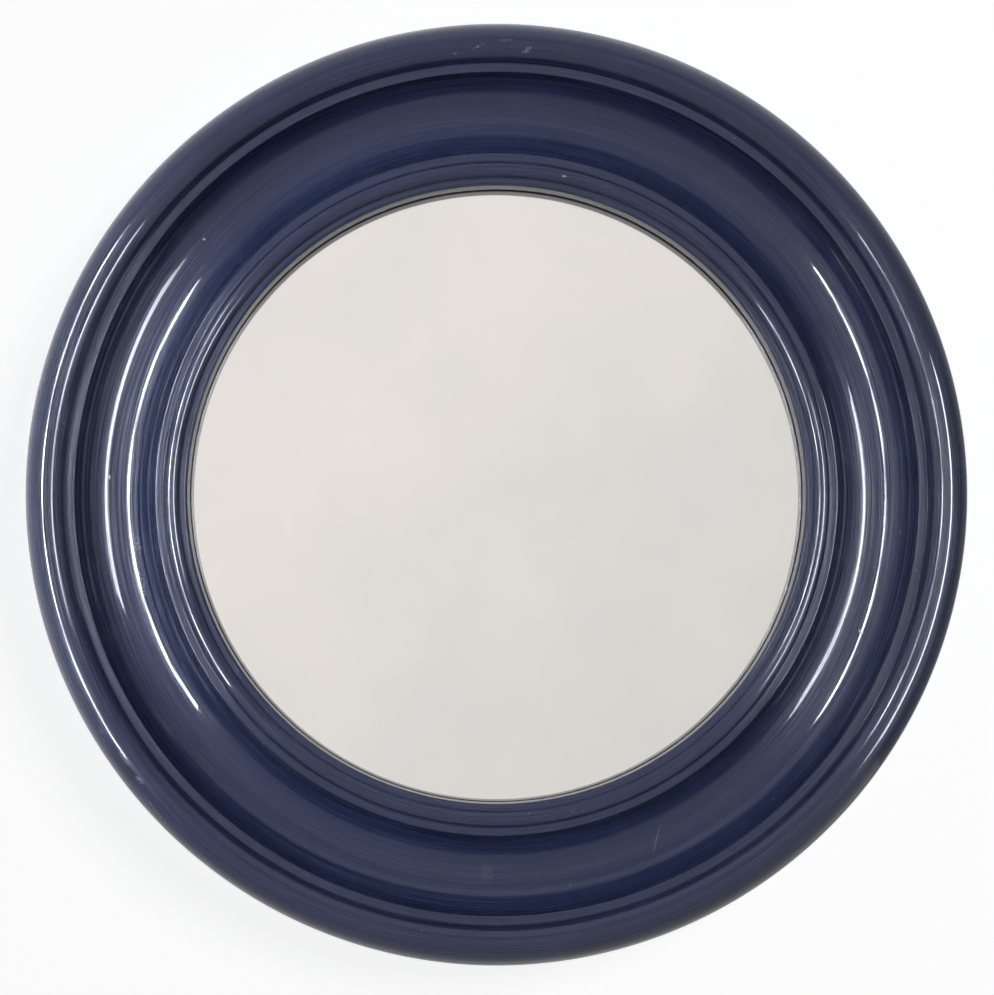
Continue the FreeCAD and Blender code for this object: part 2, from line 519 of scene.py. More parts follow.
class Effects:
    """The node groups that several finishes share, each built when it is first used."""

    @cached_property
    def hairlines(self) -> bpy.types.NodeTree:
        """Thin scratches: noise drawn out along one way and kept only at its peaks, in patches.

        Returns:
            The group. Its mask is its amount on a scratch, and 0 beside it.
        """
        inputs = {"Turn": 0.0, "Long": 30.0, "Fine": 1400.0, "Least": 0.68, "Even": 0.0, "Amount": 0.5}
        group = Effect("Hairline scratches", "Mask", Place=None, **inputs)
        given = group.given
        place, least = group.spun(given["Place"], given["Turn"]), given["Least"]
        factors = group.point(given["Long"], given["Fine"], given["Long"])
        drawn = group.add("ShaderNodeMapping", {"Vector": place, "Scale": factors}).outputs[0]
        lines = group.spread(group.noise(drawn, 1.0, detail=1.0), least, group.plus(least, 0.1))
        patches = group.spread(group.noise(given["Place"], 24.0), 0.46, 0.66)
        return group.done(group.times(lines, group.most(patches, given["Even"]), given["Amount"]))

    @cached_property
    def specks(self) -> bpy.types.NodeTree:
        """Dust specks: the middles of random cells, of which most are dropped.

        Returns:
            The group. Its mask is 1 on a speck, and 0 beside it.
        """
        group = Effect("Dust specks", "Mask", Place=None, Cells=300.0, Kept=0.1, Size=0.12)
        given = group.given
        cells = group.add("ShaderNodeTexVoronoi", {"Vector": given["Place"], "Scale": given["Cells"]}).outputs
        chance = group.add("ShaderNodeSeparateColor", {0: cells["Color"]}).outputs[0]
        dots = group.work("LESS_THAN", cells["Distance"], given["Size"])
        return group.done(group.times(dots, group.work("LESS_THAN", chance, given["Kept"])))

    @cached_property
    def scuff(self) -> bpy.types.NodeTree:
        """One mark at its place: a soft oval, broken up by a grain where it isn't solid.

        Returns:
            The group. Its mask is up to 1 on the mark, and 0 beside it.
        """
        inputs = {"Grain": 0.5, "Across": 0.0, "Up": 0.0, "Turn": 0.0, "Length": 0.01, "Width": 0.001}
        group = Effect("Scuff", "Mask", Place=None, **inputs, Solid=0.0)
        given = group.given
        apart = group.vector_work("SUBTRACT", given["Place"], group.point(given["Across"], given["Up"]))
        parts = group.parts(group.spun(apart, group.times(given["Turn"], -1.0)))
        along = group.work("POWER", group.work("DIVIDE", parts[0], given["Length"]), 2.0)
        across = group.work("POWER", group.work("DIVIDE", parts[1], given["Width"]), 2.0)
        oval = group.spread(group.plus(along, across), 0.02, 0.25, 1.0, 0.0)
        grain = group.spread(given["Grain"], 0.44, 0.60)
        return group.done(group.times(oval, group.most(grain, given["Solid"])))

    @cached_property
    def waviness(self) -> bpy.types.NodeTree:
        """The height of a surface's slow waves and of its fine pebbling, in metres.

        Returns:
            The group.
        """
        inputs = {"Waves": 0.00002, "Slow": 14.0, "Pebbles": 0.000001, "Fine": 700.0}
        group = Effect("Surface waviness", "Height", Place=None, **inputs)
        given = group.given
        slow = group.times(group.noise(given["Place"], given["Slow"], detail=1.0), given["Waves"])
        fine = group.times(group.noise(given["Place"], given["Fine"], detail=1.0), given["Pebbles"])
        return group.done(group.plus(slow, fine))


# The photograph's view


@dataclass(frozen=True)
class PhotoView:
    """How the photograph was taken: along +Y, from a point a little below and left of the axis."""

    width_px: int = 994
    height_px: int = 995
    middle_px: Place = (496.3, 495.7)
    outline_px: float = 468.5
    outline_radius: float = 260.02 * MM
    outline_depth: float = 20.0 * MM
    distance: float = 1.1
    foot: Place = (-14 * MM, -58 * MM)
    sensor: float = 36.0

    @property
    def focal_px(self) -> float:
        """The focal length in pixels."""
        return self.outline_px * (self.distance - self.outline_depth) / self.outline_radius

    @property
    def foot_px(self) -> Place:
        """The pixel that the camera faces."""
        scale = self.outline_px / self.outline_radius
        return self.middle_px[0] + self.foot[0] * scale, self.middle_px[1] - self.foot[1] * scale

    def place(self, pixel: Place, depth: float) -> Place:
        """Gives where a pixel lies on the object.

        Args:
            pixel: the pixel's column and row.
            depth: the depth in front of the wall of what it shows.

        Returns:
            Its place across and up.
        """
        scale = (self.distance - depth) / self.focal_px
        across = self.foot[0] + (pixel[0] - self.foot_px[0]) * scale
        return across, self.foot[1] - (pixel[1] - self.foot_px[1]) * scale

    def set_camera(self) -> None:
        """Makes the camera, with its lens shifted as the photograph's framing needs."""
        long_side = max(self.width_px, self.height_px)
        data = bpy.data.cameras.new("photo_camera")
        data.sensor_width = self.sensor
        data.lens = self.sensor * self.focal_px / long_side
        data.shift_x = (self.width_px / 2 - self.foot_px[0]) / long_side
        data.shift_y = (self.foot_px[1] - self.height_px / 2) / long_side
        camera = link_object("photo_camera", data)
        camera.location = (self.foot[0], -self.distance, self.foot[1])
        camera.rotation_euler = (math.radians(90), 0.0, 0.0)
        bpy.context.scene.camera = camera


PHOTO = PhotoView()


@dataclass(frozen=True)
class Mark:
    """A mark on the front: its middle in the photograph's pixels, its depth, and its size in millimetres."""

    pixel: Place
    depth: float
    length: float
    width: float
    turn: float = 0.0
    strength: float = 0.5
    solid: float = 0.0


BEAD = 45 * MM
SMALL_BEAD = 34 * MM
COVE = 17 * MM
GLASS = 20 * MM

SCUFFS = (
    Mark((455, 53), BEAD, 3.0, 1.6, 0.3, 0.5),
    Mark((478, 47), BEAD, 9.0, 1.4, 0.45, 0.6),
    Mark((505, 41), BEAD, 12.0, 1.2, 0.05, 0.5),
    Mark((527, 50), BEAD, 7.0, 3.0, 0.5, 0.7),
    Mark((204, 239), COVE, 2.0, 1.6, 0.0, 0.9, 1.0),
    Mark((564, 177), SMALL_BEAD, 3.4, 1.2, -0.1, 0.8, 1.0),
    Mark((109, 477), COVE, 1.8, 3.4, 0.0, 0.7, 1.0),
    Mark((102, 732), BEAD, 7.0, 2.6, -0.9, 0.35),
    Mark((124, 758), BEAD, 12.0, 3.0, -1.0, 0.5),
    Mark((140, 780), BEAD, 7.0, 4.0, -0.7, 0.4),
    Mark((155, 812), BEAD, 28.0, 3.0, -0.95, 0.3),
    Mark((657, 839), COVE, 20.0, 0.9, 1.3, 0.35, 0.7),
    Mark((487, 873), COVE, 10.0, 12.0, 0.0, 0.15),
    Mark((861, 632), COVE, 2.0, 3.6, 0.5, 0.7, 1.0),
    Mark((138, 545), COVE, 5.0, 12.0, 0.1, 0.2),
    Mark((141, 585), COVE, 5.0, 20.0, 0.25, 0.2),
)

SMUDGES = (
    Mark((398, 629), GLASS, 16.0, 4.0, 0.85, 0.7),
    Mark((287, 528), GLASS, 3.5, 26.0, 0.25, 0.6),
    Mark((465, 424), GLASS, 10.0, 6.0, 0.8, 0.5),
)


# Finishes


class Look(NodeGraph):
    """A material under construction: its graph, its shader and the effects that it can place."""

    def __init__(self, name: str, effects: Effects | None = None) -> None:
        """Starts the material.

        Args:
            name: its name.
            effects: the shared node groups.
        """
        self.material = bpy.data.materials.new(name)
        self.material.use_nodes = True
        self.effects = effects
        super().__init__(self.material.node_tree)
        self.shader = self.tree.nodes["Principled BSDF"]

    def set(self, inputs: dict) -> None:
        """Sets or joins the shader's inputs."""
        self.feed(self.shader, inputs)

    def hairlines(self, place: Socket, **inputs: float) -> Socket:
        """Places thin scratches."""
        return self.place(self.effects.hairlines, Place=place, **inputs)

    def specks(self, place: Socket, **inputs: float) -> Socket:
        """Places dust specks."""
        return self.place(self.effects.specks, Place=place, **inputs)

    def waviness(self, place: Socket, **inputs: float) -> Socket:
        """Places slow waves and fine pebbling."""
        return self.place(self.effects.waviness, Place=place, **inputs)

    def marks(self, marks: tuple[Mark, ...]) -> Socket:
        """Gathers marks, the strongest of them winning at each point.

        Args:
            marks: the marks.

        Returns:
            The mask.
        """
        flat = self.flat_place()
        total: object = 0.0
        given = {"Place": flat, "Grain": self.noise(flat, 900.0, detail=3.0)}
        for mark in marks:
            across, up = PHOTO.place(mark.pixel, mark.depth)
            size = {"Length": mark.length * MM, "Width": mark.width * MM}
            mask = self.place(
                self.effects.scuff, Across=across, Up=up, Turn=mark.turn, Solid=mark.solid, **given, **size
            )
            total = self.most(total, self.times(mask, mark.strength))
        return total


@dataclass(frozen=True)
class Finish(ABC):
    """A finish: its name, its plain colour, and how it dresses the shader."""

    name: str
    colour: Colour

    @abstractmethod
    def dress(self, look: Look) -> None:
        """Dresses the shader of a material under construction."""

    def material(self, effects: Effects) -> Material:
        """Makes the material.

        Args:
            effects: the shared node groups.

        Returns:
            The material.
        """
        look = Look(self.name, effects)
        look.set({"Base Color": self.colour})
        self.dress(look)
        return look.material


@dataclass(frozen=True)
class DullPlastic(Finish):
    """Dark plastic as it leaves the mould, dull and a little dusty, where nobody polishes it."""

    name: str = "unpolished navy plastic"
    colour: Colour = (0.0115, 0.0185, 0.056)
    chalky: Colour = (0.035, 0.042, 0.075)
    dust: Colour = (0.30, 0.30, 0.28)
    dull: float = 0.34

    def as_moulded(self, look: Look, cloudy: Socket) -> Socket:
        """Gives the roughness that the mould leaves, in clouds."""
        return look.spread(cloudy, 0.3, 0.7, self.dull, 1.3 * self.dull)

    def dress(self, look: Look) -> None:
        """Dresses the shader.

        Args:
            look: the material under construction.
        """
        solid = look.solid_place()
        cloudy = look.noise(solid, 40.0, detail=4.0)
        chalked = look.mix(look.spread(cloudy, 0.45, 0.75, 0.0, 0.5), self.colour, self.chalky)
        specks = look.specks(solid, Cells=260.0, Kept=0.12, Size=0.09)
        grain = look.waviness(solid, Waves=0.00004, Slow=60.0, Pebbles=0.000008)
        look.set({
            "Base Color": look.mix(look.times(specks, 0.3), chalked, self.dust),
            "Roughness": self.as_moulded(look, cloudy),
            "Normal": look.bump(grain),
        })


@dataclass(frozen=True)
class GlossyPlastic(DullPlastic):
    """The same plastic polished in its mould, with the scratches and scuffs of use, and its convex edges
    lighter all round, partly as wear and partly as a painted highlight.
    """

    name: str = "moulded navy plastic"
    lighter: Colour = (0.015, 0.0235, 0.068)
    # The colour of scuffs, scratches and worn edges. The convex edges also take it as a painted highlight.
    scuffed_and_highlight: Colour = (0.34, 0.36, 0.42)
    dust: Colour = (0.42, 0.42, 0.40)
    polish: float = 0.03
    buffed: float = 0.42
    buffing_pull: float = 0.9
    buffing_turn: float = 0.25

    def dress(self, look: Look) -> None:
        """Dresses the shader.

        The front's reflection is sharp, but for fine lines that run round the mirror, as buffing leaves
        them. They spread a glow across themselves, about each highlight. The rear is dull.

        Args:
            look: the material under construction.
        """
        solid = look.solid_place()
        along = look.add("ShaderNodeUVMap", uv_map=SURFACE_UV).outputs[0]
        ring = look.ring_place(look.parts(along)[1])
        front = look.share(FRONT_SHARE)
        # The edge share, broken up by clouds, marks where wear and a painted highlight lighten the colour.
        edges = look.times(look.share(EDGE_SHARE), look.clouds(solid, 60.0, 3.0, 0.4, 0.7))
        slanted = look.hairlines(along, Turn=1.1, Long=45.0, Amount=0.35)
        scratches = look.most(look.hairlines(ring, Long=7.0, Amount=0.5), slanted)
        scuffs = look.times(look.marks(SCUFFS), front)

        plain = look.mix(look.noise(solid, 9.0, detail=3.0), self.colour, self.lighter)
        # The convex edges are lightened all round, partly as wear and partly as a painted highlight.
        # Scratches lighten too.
        wear_and_highlight = look.plus(look.times(edges, 0.10), look.times(scratches, 0.05))
        rubbed_and_highlight = look.mix(look.most(wear_and_highlight, scuffs), plain, self.scuffed_and_highlight)
        dust = look.times(look.specks(solid, Cells=170.0, Kept=0.05, Size=0.07), 0.35)

        polished = look.clouds(solid, 26.0, 4.0, 0.35, 0.75, self.polish, 2.2 * self.polish)
        buffing = look.hairlines(ring, Long=2.5, Fine=6000.0, Least=0.49, Even=0.7, Amount=self.buffed)
        rough = look.plus(polished, buffing, look.times(scuffs, 0.45))
        rear = self.as_moulded(look, look.noise(solid, 40.0, detail=4.0))
        waves = look.waviness(solid, Waves=0.00002, Slow=22.0, Pebbles=0.0000012)
        cut = look.times(scratches, front, -0.000003)
        look.set({
            "Base Color": look.mix(dust, rubbed_and_highlight, self.dust),
            "Roughness": look.plus(rear, look.times(front, look.work("SUBTRACT", rough, rear))),
            "Anisotropic": self.buffing_pull,
            "Anisotropic Rotation": self.buffing_turn,
            "Tangent": look.add("ShaderNodeTangent", direction_type="UV_MAP", uv_map=SURFACE_UV).outputs[0],
            "Normal": look.bump(look.plus(waves, cut)),
        })


@dataclass(frozen=True)
class ClearGlass(Finish):
    """Polished float glass with faint smears."""

    name: str = "float glass"
    colour: Colour = (0.955, 0.965, 0.960)
    smeared: Colour = (1.0, 1.0, 1.0)
    ior: float = 1.52

    def dress(self, look: Look) -> None:
        """Dresses the shader.

        Args:
            look: the material under construction.
        """
        flat = look.flat_place()
        smears = look.marks(SMUDGES)
        hairs = look.hairlines(flat, Turn=0.7, Long=60.0, Amount=0.4)
        haze = look.clouds(flat, 11.0, 4.0, 0.40, 0.75, 0.0, 0.35)
        look.set({
            "Base Color": look.mix(look.most(smears, haze, hairs), self.colour, self.smeared),
            "Roughness": look.times(smears, 0.02),
            "IOR": self.ior,
            "Transmission Weight": 1.0,
        })


@dataclass(frozen=True)
class SilverFilm(Finish):
    """The silver behind the glass, slightly uneven in tone."""

    name: str = "silver film"
    colour: Colour = (0.93, 0.925, 0.915)
    cooler: Colour = (0.90, 0.905, 0.905)

    def dress(self, look: Look) -> None:
        """Dresses the shader.

        Args:
            look: the material under construction.
        """
        solid = look.solid_place()
        tone = look.clouds(solid, 13.0, 3.0, 0.35, 0.65)
        look.set({
            "Base Color": look.mix(tone, self.colour, self.cooler),
            "Roughness": look.times(look.specks(solid, Cells=90.0, Kept=0.02, Size=0.04), 0.3),
            "Metallic": 1.0,
        })


@dataclass(frozen=True)
class Card(Finish):
    """Plain grey-brown card with short fibres."""

    name: str = "backing card"
    colour: Colour = (0.42, 0.33, 0.22)
    fibre: Colour = (0.28, 0.20, 0.12)

    def dress(self, look: Look) -> None:
        """Dresses the shader.

        Args:
            look: the material under construction.
        """
        flat = look.flat_place()
        fibres = look.hairlines(flat, Long=260.0, Fine=2400.0, Amount=0.8)
        mottle = look.clouds(flat, 300.0, 4.0, 0.35, 0.7, 0.0, 0.35)
        look.set({
            "Base Color": look.mix(look.most(fibres, mottle), self.colour, self.fibre),
            "Roughness": look.spread(mottle, 0.0, 0.35, 0.80, 0.92),
            "Normal": look.bump(look.times(look.noise(flat, 1500.0), 0.00004)),
        })


@dataclass(frozen=True)
class Hardboard(Finish):
    """Brown hardboard, whose back keeps the print of the wire screen that it was pressed on."""

    name: str = "hardboard"
    colour: Colour = (0.20, 0.105, 0.045)
    darker: Colour = (0.115, 0.058, 0.026)
    lighter: Colour = (0.33, 0.20, 0.10)
    screen_pitch: float = 1.7 * MM

    def dress(self, look: Look) -> None:
        """Dresses the shader. The screen's print is the product of two sines across and up.

        Args:
            look: the material under construction.
        """
        flat = look.flat_place()
        rate = FULL_TURN / self.screen_pitch
        screen = look.times(*(look.work("SINE", look.times(part, rate)) for part in look.parts(flat)[:2]))
        clouds = look.clouds(flat, 14.0, 4.0, 0.3, 0.7)
        fibres = look.hairlines(flat, Turn=0.5, Long=160.0, Fine=2000.0, Amount=0.7)
        crossed = look.hairlines(flat, Turn=2.1, Long=190.0, Fine=2200.0, Amount=0.7)
        mottle = look.clouds(flat, 300.0, 5.0, 0.42, 0.66, 0.0, 0.7)
        brown: object = self.colour
        for amount in (look.times(clouds, 0.45), mottle, look.spread(screen, -1.0, 1.0, 0.0, 0.35)):
            brown = look.mix(amount, brown, self.darker)
        look.set({
            "Base Color": look.mix(look.most(fibres, crossed), brown, self.lighter),
            "Roughness": look.spread(clouds, 0.0, 1.0, 0.58, 0.75),
            "Normal": look.bump(look.plus(look.times(screen, 0.00005), look.times(fibres, 0.00002))),
        })


@dataclass(frozen=True)
class ZincedSteel(Finish):
    """Zinc-plated steel that has dulled, with the lines of its rolling and dark spots."""

    name: str = "zinced steel"
    colour: Colour = (0.60, 0.60, 0.58)
    dulled: Colour = (0.40, 0.40, 0.39)
    spotted: Colour = (0.20, 0.15, 0.11)
    roughness: float = 0.32
    line_turn: float = 0.0

    def dress(self, look: Look) -> None:
        """Dresses the shader.

        Args:
            look: the material under construction.
        """
        solid = look.solid_place()
        rolled = look.hairlines(look.flat_place(), Turn=self.line_turn, Long=120.0, Fine=5200.0, Amount=0.9)
        cloudy = look.clouds(solid, 160.0, 4.0, 0.35, 0.68)
        spots = look.clouds(solid, 420.0, 3.0, 0.66, 0.74, 0.0, 0.6)
        plated = look.mix(look.times(cloudy, 0.7), self.colour, self.dulled)
        rough = look.spread(cloudy, 0.0, 1.0, self.roughness, 1.5 * self.roughness)
        pits = look.waviness(solid, Waves=0.000012, Slow=240.0, Pebbles=0.000002, Fine=1800.0)
        look.set({
            "Base Color": look.mix(spots, plated, self.spotted),
            "Roughness": look.plus(rough, look.times(spots, 0.4)),
            "Metallic": 1.0,
            "Normal": look.bump(look.plus(pits, look.times(rolled, -0.000004))),
        })


# The mirror


@dataclass
class MouldedFrame:
    """The one-piece plastic frame: its skin, and the ribs, pads and bosses behind it."""

    sight_radius: float = 170.0 * MM
    sight_wall_height: float = 12.0 * MM
    lip_softening: float = 1.2 * MM
    lip_ledge: float = 3.9 * MM
    small_bead_width: float = 9.0 * MM
    small_bead_height: float = 4.2 * MM
    step_ledge: float = 4.4 * MM
    step_drop: float = 5.0 * MM
    cove_radius: float = 22.0 * MM
    outer_ledge: float = 4.8 * MM
    large_bead_radius: float = 9.5 * MM
    flank_width: float = 15.0 * MM
    flank_height: float = 26.5 * MM
    rim_height: float = 20.0 * MM
    wall: float = 3.0 * MM
    pocket_clearance: float = 0.5 * MM
    corner_softness: float = 0.22 * MM
    softening_step: float = 0.05 * MM
    longest_step: float = 2.6 * MM
    widest_turning: float = math.radians(12)
    polish_fade: Place = (14.0 * MM, 27.0 * MM)
    rim_polish: float = 0.3
    section_points: int = 300
    steps_round: int = 320
    sink: float = 1.0 * MM
    rib_count: int = 12
    rib_thickness: float = 2.0 * MM
    rib_recess: float = 1.0 * MM
    pad_count: int = 6
    pad_width: float = 9.0 * MM
    pad_end: float = 188.5 * MM
    pad_shrink: float = 0.02 * MM
    boss_radius: float = 4.5 * MM
    boss_edge: float = 0.5 * MM
    boss_spacing: float = 40.0 * MM
    boss_steps: int = 64
    draft: float = 0.2 * MM
    plate_edge: float = 0.35 * MM
    plate_edge_steps: int = 3
    plate_edge_angle: float = math.radians(50)

    def __post_init__(self) -> None:
        """Works out the radii and levels from the sizes, the glass and the board."""
        glass_low, glass_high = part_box("mirror_glass")
        self.glass_face = -glass_low.y
        self.pocket_radius = glass_high.x + self.pocket_clearance
        self.pocket_outer = self.pocket_radius + self.wall
        self.board_rear = -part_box("back_board")[1].y
        self.step_level = self.glass_face + self.sight_wall_height
        self.ledge_level = self.step_level + self.step_drop
        small_bead_inner = self.sight_radius + self.lip_ledge
        self.small_bead_centre = small_bead_inner + self.small_bead_width / 2
        cove_inner = small_bead_inner + self.small_bead_width + self.step_ledge
        self.cove_centre = cove_inner + math.sqrt(self.cove_radius**2 - self.step_drop**2)
        self.cove_rear = self.ledge_level - self.cove_radius - self.wall
        self.half_flat = (self.cove_radius + self.wall) / 2
        bead_foot = self.cove_centre + self.cove_radius + self.outer_ledge
        self.crown_radius = bead_foot + self.large_bead_radius
        self.rim_radius = self.crown_radius + self.flank_width

    def front_outline(self) -> np.ndarray:
        """Gives the front of the section, from the rim's outer foot to the glass.

        Returns:
            The points.
        """
        bead, cove = (self.large_bead_radius,) * 2, (self.cove_radius,) * 2
        cove_end = -180 + math.degrees(math.asin(self.step_drop / self.cove_radius))
        small_bead = (self.small_bead_width / 2, self.small_bead_height)
        lip = self.sight_radius + self.lip_softening
        return np.vstack([
            [(self.rim_radius, 0.0)],
            arc((self.crown_radius, self.rim_height), (self.flank_width, self.flank_height), 0, 90),
            arc((self.crown_radius, self.ledge_level), bead, 90, 180),
            arc((self.cove_centre, self.ledge_level), cove, 0, cove_end),
            arc((self.small_bead_centre, self.step_level), small_bead, 0, 180),
            [(lip, self.step_level), (self.sight_radius, self.step_level - self.lip_softening)],
            [(self.sight_radius, self.glass_face)],
        ])

    def hollow_arcs(self, sink: float = 0.0) -> np.ndarray:
        """Gives the hollow's roof under the bead and flank, sunk by some distance into the skin.

        Args:
            sink: the distance.

        Returns:
            The points, from the bead outwards.
        """
        inset = self.wall - sink
        bead = (self.large_bead_radius - inset,) * 2
        flank = (self.flank_width - inset, self.flank_height - inset)
        under_bead = arc((self.crown_radius, self.ledge_level), bead, 180, 90, 20)
        return np.vstack([under_bead, arc((self.crown_radius, self.rim_height), flank, 90, 0, 30)])

    def rear_outline(self) -> np.ndarray:
        """Gives the back of the section, from the glass pocket through the hollow to the rim's inner foot."""
        flat_start, flat_end = self.cove_centre - self.half_flat, self.cove_centre + self.half_flat
        return np.vstack([
            [(self.pocket_radius, self.glass_face), (self.pocket_radius, self.board_rear)],
            [(self.pocket_outer, self.board_rear), (self.pocket_outer, self.step_level - self.wall)],
            [(flat_start, self.cove_rear), (flat_end, self.cove_rear)],
            self.hollow_arcs(),
            [(self.rim_radius - self.wall, 0.0)],
        ])

    def skin(self) -> Object:
        """Makes the skin: the softened section carried round the axis.

        The section's points lie closer where it turns more, so that their spacing h keeps
        h / longest + h * turning / widest even, and its length and turning give the piece its UV map
        and its shares of polished front and edge. The edge share lightens the colour of the front's
        convex corners, partly as wear and partly as a painted highlight. The polish fades towards the
        rim's foot.

        Returns:
            The object.
        """
        front, step = self.front_outline(), self.softening_step
        section, turning = softened(np.vstack([front, self.rear_outline()]), self.corner_softness, step)
        weight = np.cumsum(step / self.longest_step + step * np.abs(turning) / self.widest_turning)
        wanted = np.linspace(weight[0], weight[-1], self.section_points, endpoint=False)
        steps = np.arange(len(section))
        chosen = np.interp(wanted, weight, steps)
        kept, bend = read_at(chosen, steps, section), np.interp(chosen, steps, turning)

        turns = even_turns(self.steps_round)
        surface = grid(round_axis(kept[:, :1], kept[:, 1:], turns), closed=True)
        made = make_object("frame_skin", surface)
        along = np.append(chosen, len(section)) * step
        around = np.linspace(0.0, FULL_TURN * self.cove_centre, self.steps_round + 1)
        corners = np.stack([around[surface.corner_columns], along[surface.corner_rows]], axis=-1)
        made.data.uv_layers.new(name=SURFACE_UV).uv.foreach_set("vector", corners.astype(np.float32).ravel())
        is_front = (chosen * step < lengths_along(front)[-1]).astype(float)
        fading = np.interp(kept[:, 1], self.polish_fade, (self.rim_polish, 1.0))
        polished = np.where(kept[:, 0] > self.crown_radius, fading, 1.0)
        # The edge share lightens the front's convex corners all round, partly as wear and partly as a painted
        # highlight.
        sharpness = np.clip(bend * self.corner_softness, 0, 1)
        for name, share in {FRONT_SHARE: is_front * polished, EDGE_SHARE: is_front * sharpness}.items():
            values = np.repeat(share, self.steps_round).astype(np.float32)
            made.data.attributes.new(name, "FLOAT", "POINT").data.foreach_set("value", values)
        return made

    def _plates(self, name: str, section: np.ndarray, halves: Place, turns: np.ndarray) -> Object:
        """Makes moulded plates with soft edges, one at each turn.

        Args:
            name: the object's name.
            section: a plate's outline.
            halves: half its thickness at the rear and at the front.
            turns: where the plates stand.

        Returns:
            The object.
        """
        plates = joined([drafted_plate(section, *halves, turn) for turn in turns])
        made = make_object(name, plates, smooth=False)
        bevel = made.modifiers.new("soft edges", "BEVEL")
        bevel.width = self.plate_edge
        bevel.segments = self.plate_edge_steps
        bevel.limit_method = "ANGLE"
        bevel.angle_limit = self.plate_edge_angle
        return made

    def ribs(self) -> Object:
        """Makes the plates that stiffen the flank, each between the cove's back and the rim.

        Returns:
            The object.
        """
        rear = self.cove_rear + self.rib_recess
        foot = self.cove_centre + (self.cove_radius + self.wall - self.sink) / 2
        roof = self.hollow_arcs(self.sink)
        section = np.vstack([[(foot, rear)], roof, [(roof[-1, 0], rear)]])[::-1]
        half = self.rib_thickness / 2
        turns = (np.arange(self.rib_count) + 0.5) * FULL_TURN / self.rib_count
        return self._plates("frame_ribs", section, (half - self.draft / 2, half), turns)

    def pads(self) -> Object:
        """Makes the blocks that the turn buttons are screwed to, behind the step.

        Returns:
            The object.
        """
        inner, end = self.pocket_outer - self.sink, self.pad_end
        rear = self.board_rear + self.pad_shrink
        step_rear = self.step_level - self.wall
        slope = (self.pocket_outer, self.cove_centre - self.half_flat)
        roof = float(np.interp(end, slope, (step_rear, self.cove_rear))) + self.sink
        section = np.array([(inner, rear), (end, rear), (end, roof), (inner, step_rear)])
        half = self.pad_width / 2
        turns = np.arange(self.pad_count) * FULL_TURN / self.pad_count
        return self._plates("frame_button_pads", section, (half, half + self.draft), turns)

    def bosses(self, height: float, rear: float) -> Object:
        """Makes the round posts that the hanger is screwed to, cut to the hollow's roof at their tops.

        Args:
            height: their place above the mirror's axis.
            rear: the depth of their rear ends.

        Returns:
            The object.
        """
        turn, edge = even_turns(self.boss_steps), self.boss_edge
        side_arc = arc((self.boss_radius - edge, rear + edge), (edge, edge), -90, 0, 6)
        foot = np.vstack([[(0.0, rear)], side_arc])
        tip = self.boss_radius + self.draft
        roof = self.hollow_arcs(self.sink)
        posts = []
        for side in (-self.boss_spacing / 2, self.boss_spacing / 2):
            reach = np.hypot(side + tip * np.cos(turn), height + tip * np.sin(turn))
            top = np.interp(reach, roof[:, 0], roof[:, 1])
            radii, levels = (np.repeat(column[:, None], self.boss_steps, axis=1) for column in foot.T)
            radius = np.vstack([radii, np.full_like(turn, tip), np.zeros_like(turn)])
            depth = np.vstack([levels, top, np.full_like(turn, top.min())])
            posts.append(grid(round_axis(radius, depth, turn, (side, height))))
        return make_object("frame_hanger_bosses", joined(posts))

    def build(self, glossy: Material, dull: Material, height: float, face: float) -> None:
        """Makes the frame's pieces and sets them in place.

        Args:
            glossy: the skin's material.
            dull: the material of what stands behind the skin.
            height: the hanger's place above the mirror's axis.
            face: the depth of the hanger's front face.
        """
        fit_piece(self.skin(), glossy, Slot.FRAME, ROOT, "frame_moulding")
        for piece in (self.ribs(), self.pads(), self.bosses(height, face)):
            fit_piece(piece, dull, Slot.FRAME, ROOT, "frame_moulding")


@dataclass
class Glazing:
    """What lies in the pocket: the glass, its silver, the card and the hardboard."""

    steps_round: int = 256
    glass_edge: float = 0.35 * MM
    board_edge: float = 0.45 * MM
    air: float = 0.03 * MM
    edge_steps: int = 7
    flat_inset: float = 1.5

    def _disc(self, name: str, node: str, edge: float, gap: float) -> Object:
        """Makes a round sheet with rounded edges in the space of a node.

        Args:
            name: the object's name.
            node: the node.
            edge: the radius of its rounded edges.
            gap: how far its faces lie inside the node's.

        Returns:
            The object.
        """
        low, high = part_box(node)
        radius, front, rear = high.x, -low.y - gap, -high.y + gap
        lower = arc((radius - edge, rear + edge), (edge, edge), -90, 0, self.edge_steps)
        upper = arc((radius - edge, front - edge), (edge, edge), 0, 90, self.edge_steps)
        flat = radius - self.flat_inset * edge
        section = np.vstack([[(0, rear), (flat, rear)], lower, upper, [(flat, front), (0, front)]])
        points = round_axis(section[:, :1], section[:, 1:], even_turns(self.steps_round))
        return make_object(name, grid(points))

    def build(self, glass: Material, silver: Material, card: Material, board: Material) -> None:
        """Makes the sheets and sets them in place.

        Args:
            glass: the glass's material.
            silver: the silver film's material.
            card: the card's material.
            board: the hardboard's material.
        """
        sheet = self._disc("glass_sheet", "mirror_glass", self.glass_edge, self.air)
        fit_piece(sheet, glass, Slot.GLASS, ROOT, "mirror_glass")
        dress_node("silvering", silver)
        dress_node("backing_card", card)
        disc = self._disc("hardboard_disc", "back_board", self.board_edge, 0.0)
        fit_piece(disc, board, Slot.BOARD, ROOT, "back_board")


